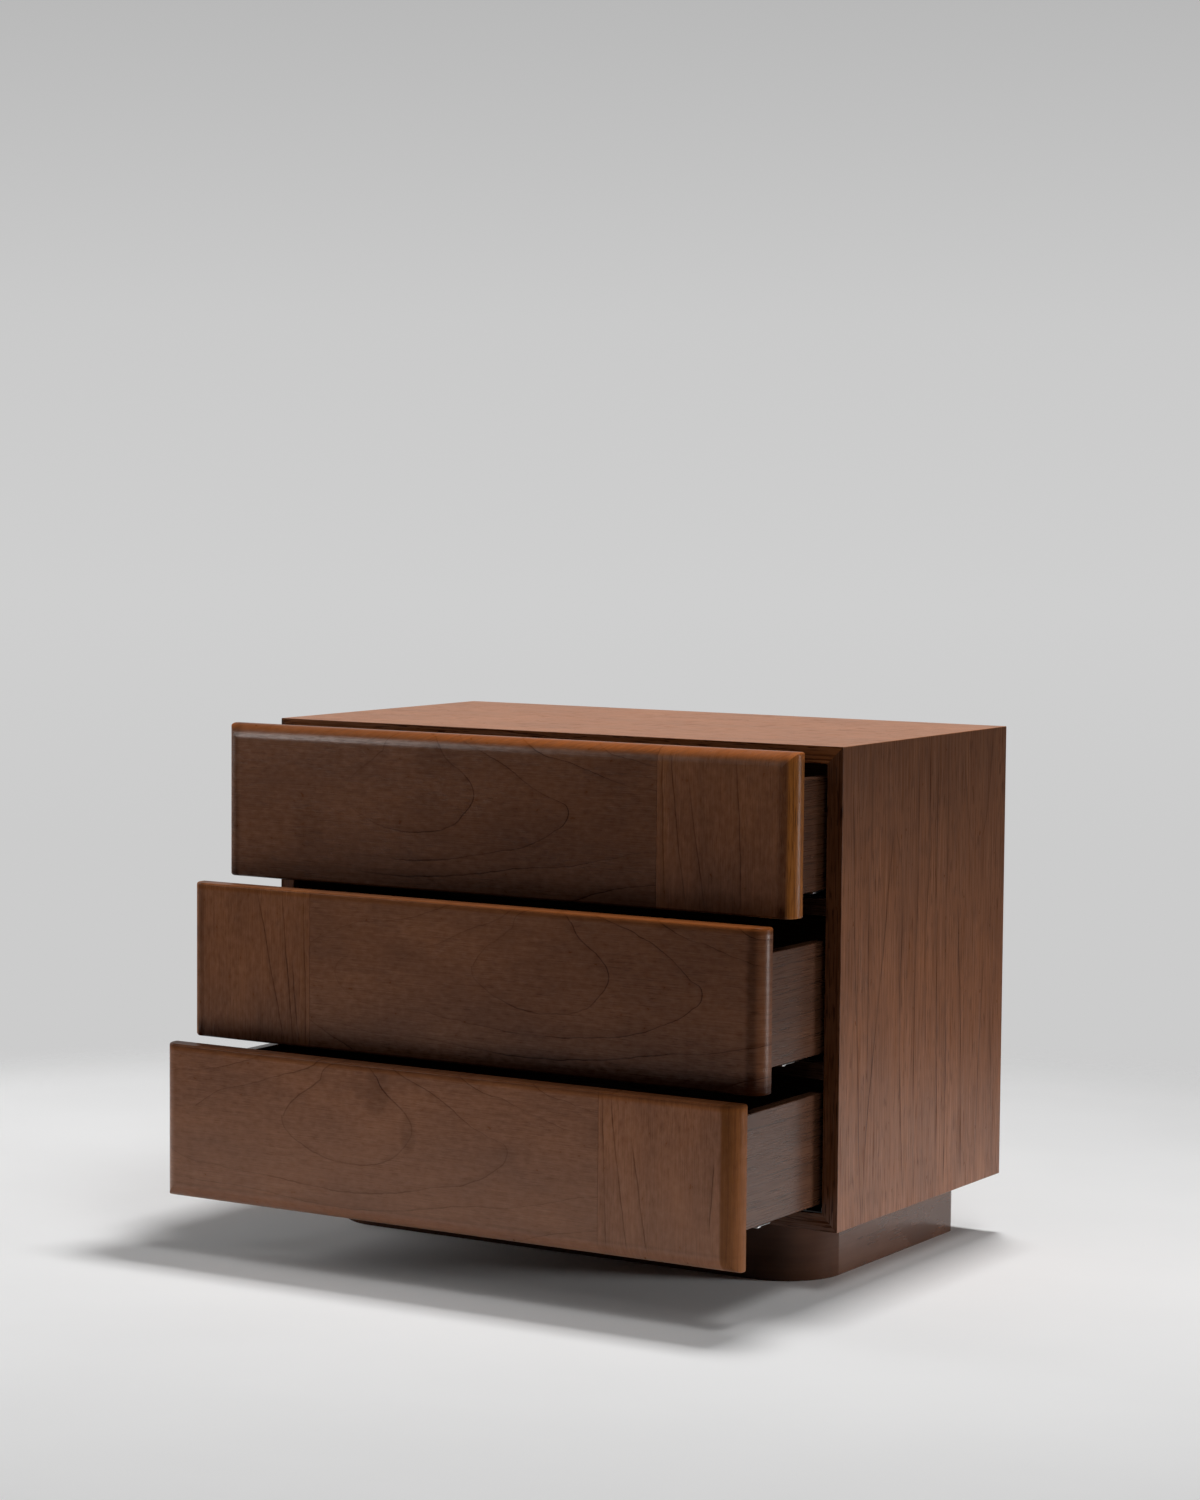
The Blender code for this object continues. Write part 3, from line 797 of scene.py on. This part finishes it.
def end_veneer(drawer, side, seed):
    """Straight-grained veneer up an end of a front, golden round its outer edge."""
    shader = Shader(f"{drawer}_end_veneer")
    u, v = shader.distance(Z), shader.distance(X)
    outward = shader.times(v, side)
    low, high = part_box(f"{drawer}_front_end_panel")
    seam = HALF_WIDTH - 1000 * (high.x - low.x)
    across = swayed(shader, u, v, seed, *END_SWAY)
    lines = drawn_lines(shader, u, across, END_LINES[drawer], END_LINE_WIDTH)
    tones = lit_tones(END_TONES, PAINTED_FRONT_LIGHT[drawer])
    crease, under = lower_round(shader, drawer)
    shade = shader.plus(crease, dark_turn(shader, outward), TURN_SHADE[drawer])
    face, gloss, height, sheen = veneer(shader, u, v, tones, seed, lines, FRONT_GRAIN, shade)
    face = floor_light(shader, face, drawer)
    lip = lipping(shader, drawer, u, v, seed + 50)
    border = shader.change(outward, HALF_WIDTH - LIP_WIDTH[drawer], LIP_BLUR)
    stripe = shader.change(outward, seam, STRIPE_END, 0.0, STRIPE_SHARE)
    stripe = shader.times(shader.change(outward, seam, STRIPE_START), stripe)
    # On the lowest end panel the lower round takes the lipping's colour as a painted highlight
    border = shader.larger(border, shader.larger(stripe, under))
    colour = shader.mix(shader.times(border, LIP_SHARE[drawer]), face, lip)
    colour = painted_rim_light(shader, colour, drawer)
    sheen = shader.times(sheen, shader.smooth(border, 0.0, 1.0, 1.0, LIP_SHEEN[drawer]))
    return shader.finish(colour, gloss, height, specular=shaded_gloss(shader, sheen, drawer))


def carcass_veneer(
    name, along, across, tones, seed, straight=None, specular=SATIN_SPECULAR, edge_shade=EDGE_SHADE,
):
    """Veneer on the carcass boards, whose edges carry the grain along their length. Its lines are straight
    or drawn through points."""
    shader = Shader(name)
    u, v, y = shader.distance(along), shader.distance(across), shader.distance(Y)
    if straight:
        slanted = shader.plus(v, u, LINE_SLANT)
        drawn = straight_lines(shader, swayed(shader, u, slanted, seed, *STRAIGHT_SWAY), *straight)
    else:
        depth = swayed(shader, u, y, seed, *SIDE_SWAY)
        drawn = drawn_lines(shader, u, depth, SIDE_LINES, SIDE_LINE_WIDTH)
    fine = straight_lines(shader, swayed(shader, u, v, seed + 40, *FINE_SWAY), *FINE_LINES)
    worn = shader.grain_noise(u, v, *WORN_SIZE, seed + 43)
    worn = shader.smooth(worn, *WORN_LEVELS, 0.0, WORN_SHARE)
    drawn = shader.larger(drawn, shader.times(fine, worn))
    # Painted shade on the front edges
    edge = shader.change(y, 1000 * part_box("top_panel")[0].y, FRONT_EDGE, 0.0, edge_shade)
    colour, gloss, height, sheen = veneer(shader, u, v, tones, seed, drawn, SIDE_GRAIN, edge, specular)
    return shader.finish(colour, gloss, height, specular=sheen)


def box_wood(name, along, across, seed):
    """Open-grained grey-brown wood, streaked along its length."""
    shader = Shader(name)
    u, v = shader.distance(along), shader.distance(across)
    cloud = shader.grain_noise(u, v, *BOX_CLOUD, seed, detail=3.0)
    streak = shader.grain_noise(u, v, *BOX_STREAK, seed + 5)
    fibre = shader.grain_noise(u, v, *BOX_FIBRE, seed + 7, detail=1.0)
    dash = shader.smooth(shader.grain_noise(u, v, *BOX_DASH, seed + 9, detail=1.0), *BOX_DASH_LEVELS)
    line = straight_lines(shader, swayed(shader, u, v, seed + 13, *BOX_SWAY), *BOX_LINES)
    colour = shader.wood(BOX_TONES, (cloud, streak, fibre), BOX_SHARES)
    marks = shader.larger(shader.times(dash, BOX_DASH_SHARE), shader.times(line, BOX_LINE_SHARE))
    colour = shader.mix(marks, colour, BOX_PORES)
    gloss = shader.plus(BOX_ROUGH, fibre, BOX_FIBRE_ROUGH)
    height = shader.plus(shader.times(fibre, BOX_FIBRE_RISE), dash, -BOX_DASH_DROP)
    return shader.finish(colour, gloss, height, BOX_DEPTH, BOX_SPECULAR)


def plinth_wood(name, light, rough, specular):
    """Dark brown lacquer, with the grain just showing."""
    shader = Shader(name)
    u, v = shader.distance((1, 1, 0)), shader.distance(Z)
    cloud = shader.grain_noise(u, v, *PLINTH_CLOUD, 401.0, detail=3.0)
    streak = shader.grain_noise(u, v, *PLINTH_STREAK, 405.0)
    colour = shader.wood(lit_tones(PLINTH_TONES, light), (cloud, streak), PLINTH_SHARES)
    gloss = shader.plus(rough, cloud, PLINTH_CLOUD_ROUGH)
    return shader.finish(colour, gloss, cloud, SMOOTH_DEPTH, specular)


def plated_steel(name, levels):
    """Zinc plate with a faint crystal mottle and fine drawing lines along the section."""
    shader = Shader(name)
    u, v = shader.distance(Y), shader.distance((1, 0, 1))
    mottle = shader.grain_noise(u, v, *ZINC_MOTTLE, 501.0, detail=3.0)
    drawn = shader.grain_noise(u, v, *ZINC_DRAWING, 505.0)
    colour = shader.greys(mottle, levels)
    gloss = shader.plus(ZINC_ROUGH, mottle, ZINC_MOTTLE_ROUGH)
    shader.surface.inputs["Metallic"].default_value = 1.0
    return shader.finish(colour, gloss, drawn, SMOOTH_DEPTH)


# Shapes

def new_object(name, shape, material):
    """Turns a bmesh into an object of the scene."""
    mesh = bpy.data.meshes.new(name)
    shape.to_mesh(mesh)
    shape.free()
    mesh.materials.append(material)
    thing = bpy.data.objects.new(name, mesh)
    bpy.context.scene.collection.objects.link(thing)
    return thing


def add_piece(name, shape, material, *nodes):
    """Turns a bmesh into a piece that stands for CAD nodes and rides where they ride."""
    bmesh.ops.recalc_face_normals(shape, faces=shape.faces)
    piece = new_object(name, shape, material)
    piece.data.shade_smooth()
    piece.data.set_sharp_from_angle(angle=SHARP_ANGLE)
    flat = piece.modifiers.new("flat faces stay flat", "WEIGHTED_NORMAL")
    flat.keep_sharp = True
    flat.weight = FACE_WEIGHT
    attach(piece, BODY_OF[nodes[0]])
    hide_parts(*nodes)


def eased_copy(node, ease, material):
    """The node's own shape with every edge taken off."""
    shape = bmesh.new()
    shape.from_mesh(frame["nodes"][node].data)
    bmesh.ops.remove_doubles(shape, verts=shape.verts, dist=WELD)
    bmesh.ops.dissolve_limit(shape, angle_limit=FLAT_ANGLE, verts=shape.verts, edges=shape.edges)
    edges = [edge for edge in shape.edges if edge.calc_face_angle(0.0) > EDGE_ANGLE]
    bmesh.ops.bevel(
        shape, geom=edges, offset=ease, offset_type="OFFSET", segments=BEVEL_STEPS, profile=0.5,
        affect="EDGES", clamp_overlap=True,
    )
    add_piece(f"{node}_eased", shape, material, node)


def loft(rings):
    """A closed body through rings of points."""
    shape = bmesh.new()
    loops = [[shape.verts.new(point) for point in ring] for ring in rings]
    for first, second in zip(loops, loops[1:]):
        count = len(first)
        for i in range(count):
            j = (i + 1) % count
            shape.faces.new((first[i], first[j], second[j], second[i]))
    shape.faces.new(loops[0])
    shape.faces.new(loops[-1])
    return shape


def arc(centre, radius, start, end, steps):
    """Points along an arc, angles in quarter turns."""
    points = []
    for i in range(steps + 1):
        angle = (start + (end - start) * i / steps) * pi / 2
        points.append((centre[0] + radius * cos(angle), centre[1] + radius * sin(angle)))
    return points


def eased_span(start, end, ease):
    """Pairs of inset and place, from one end of an extrusion to the other, with both its ends eased."""
    pairs = []
    for i in range(EASE_STEPS):
        angle = pi / 2 * i / EASE_STEPS
        pairs.append((ease * (1 - sin(angle)), start + ease * (1 - cos(angle))))
    pairs.append((0.0, start + ease))
    return pairs + [(inset, start + end - place) for inset, place in reversed(pairs)]


def edge_inset(radius, thickness, forward):
    """How far an edge with this radius has drawn in, at a distance forward of the front's back face."""
    rise = max(0.0, forward - (thickness - radius))
    return radius - sqrt(max(0.0, radius * radius - rise * rise))


def front_stations(thickness):
    """Distances forward of the back face at which a front is drawn."""
    places = {thickness}
    for radius, steps in ((FRONT_BORDER, BORDER_STEPS), (FRONT_EASE, EASE_STEPS)):
        for i in range(steps):
            places.add(thickness - radius + radius * sin(pi / 2 * i / steps))
    kept = []
    for place in sorted(places):
        if not kept or place - kept[-1] > LEAST_STEP:
            kept.append(place)
    return kept


def front_corner(edge, level, side, turn, radius):
    """Points round an outer corner of a front, going up."""
    quarter = arc((0, 0), radius, -1, 0, CORNER_STEPS)
    if turn > 0:
        quarter = [(x, -z) for x, z in reversed(quarter)]
    centre = (edge - side * radius, level - turn * radius)
    return [(centre[0] + side * x, centre[1] + z) for x, z in quarter]


def front_piece(node, drawer, side, material):
    """Part of a front, from its seam to the outer end on its side. Its border is round, the edges that
    meet another front are eased, and the rounds of the border meet in a crease."""
    low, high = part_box(node)
    thickness = high.y - low.y
    outer, seam = (high.x, low.x) if side > 0 else (low.x, high.x)
    lower = FRONT_BORDER if drawer == DRAWERS[-1] else FRONT_EASE
    upper = FRONT_BORDER if drawer == DRAWERS[0] else FRONT_EASE
    stations = [(0.0, BACK_EASE), (BACK_EASE, 0.0)]
    stations += [(max(place, BACK_EASE), 0.0) for place in front_stations(thickness)]
    rings = []
    for forward, start in stations:
        end_inset = start + edge_inset(FRONT_BORDER, thickness, forward)
        base = low.z + (start + edge_inset(lower, thickness, forward))
        top = high.z - (start + edge_inset(upper, thickness, forward))
        ring = [(seam, base)]
        for radius, level, turn in ((lower, base, -1), (upper, top, 1)):
            crease = FRONT_CORNER - end_inset if radius == FRONT_BORDER else FRONT_EASE
            ring += front_corner(outer - side * end_inset, level, side, turn, max(crease, CREASE))
        ring.append((seam, top))
        rings.append([(x, high.y - forward, z) for x, z in ring])
    add_piece(f"{node}_lacquered", loft(rings), material, node)


def mitred_board(node, outward, material):
    """One of the four carcass boards. Its outer corners are round, and mitres join it to its neighbours."""
    low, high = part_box(node)
    upright = abs(outward[0]) > 0
    thickness = (high.x - low.x) if upright else (high.z - low.z)
    top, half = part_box("top_panel")[1].z, cad_box[1].x
    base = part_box("bottom_panel")[0].z
    middle, rise = (top + base) / 2, (top - base) / 2
    reach, face = (rise, half) if upright else (half, rise)
    centre = (reach - CARCASS_ARRIS, face - CARCASS_ARRIS)
    rings = []
    for inset, y in eased_span(low.y, high.y, CARCASS_EASE):
        inner = (reach - thickness + inset, face - thickness + inset)
        right = [inner] + arc(centre, CARCASS_ARRIS - inset, 0.5, 1, ARRIS_STEPS)
        outline = right + [(-along, away) for along, away in reversed(right)]
        if upright:
            points = [(outward[0] * away, y, middle + along) for along, away in outline]
        else:
            points = [(along, y, middle + outward[1] * away) for along, away in outline]
        rings.append(points)
    add_piece(f"{node}_mitred", loft(rings), material, node)


def dress_plinth():
    """Boards and duller round corners that meet flush, so the plinth shows no joint. The front and its
    corners
    are drawn darker: painted shade under the drawers.
    """
    boards = plinth_wood("plinth_board_wood", *PLINTH_BOARD)
    bends = plinth_wood("plinth_bend_wood", *PLINTH_BEND)
    low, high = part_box("plinth_front")
    thickness = high.y - low.y
    front, top = low.y, high.z
    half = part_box("plinth_right_side")[1].x
    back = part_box("plinth_back")[1].y
    bend, bend_end = half - PLINTH_RADIUS, front + PLINTH_RADIUS
    spans = eased_span(0.0, top, PLINTH_EASE)

    def extrude(node, outline, material):
        rings = [[(x, y, z) for x, y in outline(inset)] for inset, z in spans]
        add_piece(f"{node}_lacquered", loft(rings), material, node)

    def front_board(inset):
        near, far = front + inset, front + thickness - inset
        return [(-bend, near), (bend, near), (bend, far), (-bend, far)]

    def corner(side):
        def outline(inset):
            outer = arc((bend, bend_end), PLINTH_RADIUS - inset, -1, 0, PLINTH_STEPS)
            inner = arc((bend, bend_end), PLINTH_RADIUS - thickness + inset, 0, -1, PLINTH_STEPS)
            return [(side * x, y) for x, y in outer + inner]
        return outline

    def side_board(side):
        def outline(inset):
            outer, inner, end = half - inset, half - thickness + inset, back - thickness
            corners = [(outer, bend_end), (outer, end), (inner, end), (inner, bend_end)]
            return [(side * x, y) for x, y in corners]
        return outline

    def back_board(inset):
        centre = (half - PLINTH_BACK_RADIUS, back - PLINTH_BACK_RADIUS)
        right = [(half - inset, back - thickness)]
        right += arc(centre, PLINTH_BACK_RADIUS - inset, 0, 1, PLINTH_STEPS // 2)
        return right + [(-x, y) for x, y in reversed(right)]

    extrude("plinth_front", front_board, bends)
    extrude("plinth_back", back_board, boards)
    for name, side in SIDES.items():
        extrude(f"plinth_{name}_corner", corner(side), bends)
        extrude(f"plinth_{name}_side", side_board(side), boards)


# Sub-parts

def dress_carcass():
    """The four mitred boards, the back panel and the divider rails."""
    level, upright = (X, (0, 1, 1)), (Z, (1, 1, 0))
    sides = carcass_veneer("side_veneer", *upright, SIDE_TONES, 101.0)
    top = carcass_veneer("top_veneer", *level, TOP_TONES, 131.0, TOP_LINES, TOP_SPECULAR, TOP_EDGE_SHADE)
    mitred_board("top_panel", (0, 1), top)
    bottom = carcass_veneer("bottom_veneer", *level, SIDE_TONES, 141.0, TOP_LINES)
    mitred_board("bottom_panel", (0, -1), bottom)
    for name, side in SIDES.items():
        mitred_board(f"{name}_side_panel", (side, 0), sides)
    back = carcass_veneer("back_veneer", Z, X, SIDE_TONES, 151.0, BACK_LINES)
    eased_copy("back_panel", BOARD_EASE, back)
    rail = carcass_veneer("rail_veneer", *level, SHADED_RAIL_TONES, 171.0, RAIL_LINES)
    for node in ("upper_divider_rail", "lower_divider_rail"):
        eased_copy(node, BOARD_EASE, rail)


def dress_drawers():
    """Fronts and boxes."""
    sides = box_wood("box_side_wood", Y, (1, 0, 1), 301.0)
    ends = box_wood("box_end_wood", X, (0, 1, 1), 321.0)
    bottoms = box_wood("box_bottom_wood", X, Y, 341.0)
    for row, drawer in enumerate(DRAWERS):
        end_low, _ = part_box(f"{drawer}_front_end_panel")
        end_side = -1 if end_low.x < 0 else 1
        seed = 201.0 + 20 * row
        front_piece(f"{drawer}_front_panel", drawer, -end_side, front_veneer(drawer, -end_side, seed))
        front_piece(f"{drawer}_front_end_panel", drawer, end_side, end_veneer(drawer, end_side, seed + 10))
        for side in SIDES:
            eased_copy(f"{drawer}_box_{side}_side", BOX_EASE, sides)
        for part in ("front", "back"):
            eased_copy(f"{drawer}_box_{part}", BOX_EASE, ends)
        eased_copy(f"{drawer}_box_bottom", BOARD_EASE, bottoms)


def dress_runners():
    """Clips, and rails drawn dark as painted shade under the boxes."""
    bright = plated_steel("bright_zinc", BRIGHT_ZINC)
    shaded_steel = plated_steel("black_zinc", SHADED_ZINC)
    for drawer in DRAWERS:
        for side in SIDES:
            eased_copy(f"{drawer}_{side}_clip", STEEL_EASE, bright)
            for part in ("cabinet_rail", "middle_rail", "drawer_rail"):
                eased_copy(f"{drawer}_{side}_{part}", STEEL_EASE, shaded_steel)


# Studio

def add_camera():
    """The camera at the photograph's viewing angle."""
    yaw, pitch, roll = CAMERA_YAW, CAMERA_PITCH, CAMERA_ROLL
    right, ahead = Vector((cos(yaw), sin(yaw), 0)), Vector((-sin(yaw), cos(yaw), 0))
    up = Vector(Z)
    forward = ahead * cos(pitch) - up * sin(pitch)
    raised = up * cos(pitch) + ahead * sin(pitch)
    x_axis = right * cos(roll) + raised * sin(roll)
    y_axis = raised * cos(roll) - right * sin(roll)
    data = bpy.data.cameras.new("camera")
    data.lens = CAMERA_LENS
    data.sensor_width = CAMERA_SENSOR
    camera = bpy.data.objects.new("camera", data)
    turn = Matrix((x_axis, y_axis, -forward)).transposed().to_4x4()
    camera.matrix_world = Matrix.Translation(CAMERA_PLACE) @ turn
    bpy.context.scene.collection.objects.link(camera)
    bpy.context.scene.camera = camera


def add_softbox(name, place, aim, size, power):
    """An area lamp turned towards its aim."""
    data = bpy.data.lights.new(name, "AREA")
    data.shape = "RECTANGLE"
    data.size, data.size_y = size
    data.energy = power
    light = bpy.data.objects.new(name, data)
    light.location = place
    light.rotation_mode = "QUATERNION"
    light.rotation_quaternion = (Vector(aim) - Vector(place)).to_track_quat("-Z", "Y")
    bpy.context.scene.collection.objects.link(light)
    return light


def floor_material():
    """Pale grey, clear towards the rim."""
    shader = Shader("pale_floor")
    x, y = shader.distance(X), shader.distance(Y)
    tone = shader.grain_noise(x, y, *FLOOR_PATCH, 601.0, detail=4.0)
    colour = shader.greys(tone, FLOOR_GREYS, FLOOR_GREY_PLACES)
    shader.finish(colour, FLOOR_ROUGH, specular=FLOOR_SPECULAR)
    away = shader.length(x, y)
    fade = shader.smooth(away, 1000 * FLOOR_FADE, 1000 * FLOOR_RADIUS)
    shader.blend(fade, shader.surface, shader.new("BsdfTransparent"), "Material Output")
    return shader.owner


def add_floor():
    """A pale floor that fades into the background."""
    shape = bmesh.new()
    bmesh.ops.create_circle(shape, cap_ends=True, radius=FLOOR_RADIUS, segments=FLOOR_SEGMENTS)
    floor = new_object("floor", shape, floor_material())
    floor.location = (*FLOOR_CENTRE, 0)


def flag_material():
    """Dark grey with a faint glow."""
    shader = Shader("dim_wall")
    u, v = shader.distance(X), shader.distance(Z)
    tone = shader.grain_noise(u, v, *FLAG_PATCH, 611.0)
    colour = shader.greys(tone, FLAG_GREYS)
    shader.surface.inputs["Emission Color"].default_value = (1.0, 1.0, 1.0, 1.0)
    high = shader.smooth(v, *FLAG_FALL, FLAG_TOP_SHARE, 1.0)
    front_right = shader.distance(FLAG_DIM_TOWARDS)
    glow = shader.smooth(front_right, *FLAG_DIM_SIDE, FLAG_DIM_GLOW, FLAG_GLOW)
    shader.feed(shader.surface.inputs["Emission Strength"], shader.times(high, glow))
    return shader.finish(colour, FLAG_ROUGH, specular=FLAG_SPECULAR)


def add_flag():
    """A dim wall round the set, open towards the background, which keeps the reflections deep."""
    shape = bmesh.new()
    places = arc((0, 0), FLAG_DISTANCE, *FLAG_SPAN, FLAG_STEPS)
    columns = [[shape.verts.new((x, y, z)) for z in FLAG_HEIGHTS] for x, y in places]
    for first, second in zip(columns, columns[1:]):
        shape.faces.new((first[0], second[0], second[1], first[1]))
    flag = new_object("flag", shape, flag_material())
    flag.visible_camera = False


def add_world():
    """A pale grey room that the camera and gloss see, and a softer light for the rest."""
    shader = Shader("studio", "worlds")
    fill, room = shader.nodes["Background"], shader.new("Background")
    fill.inputs["Color"].default_value = paint(*FILL_TONE)
    fill.inputs["Strength"].default_value = FILL_STRENGTH
    split = shader.new("SeparateXYZ")
    shader.feed(split.inputs[0], shader.new("TexCoord").outputs["Generated"])
    spread = shader.new("MapRange")
    shader.feed_all(spread.inputs, (split.outputs["Z"], *ROOM_SPAN, 0.0, 1.0))
    levels = [(place, grey(level)) for place, level in ROOM_LEVELS]
    shader.feed(room.inputs["Color"], shader.ramp(spread.outputs[0], levels))
    rays = shader.new("LightPath").outputs
    seen = rays["Is Camera Ray"]
    for kind in ("Is Glossy Ray", "Is Transmission Ray"):
        seen = shader.larger(seen, rays[kind])
    shader.blend(seen, fill, room, "World Output")
    bpy.context.scene.world = shader.owner


def add_lights():
    """The lamps: gleam shows only in gloss, and the low lamp is narrow."""
    lamps = {name: add_softbox(name, *values) for name, values in LAMPS.items()}
    lamps["gleam"].visible_diffuse = False
    lamps["right_low"].data.spread = LOW_LAMP_SPREAD


dress_carcass()
dress_plinth()
dress_drawers()
dress_runners()
add_floor()
add_flag()
add_lights()
add_world()
add_camera()
bpy.context.scene.view_settings.view_transform = "Standard"
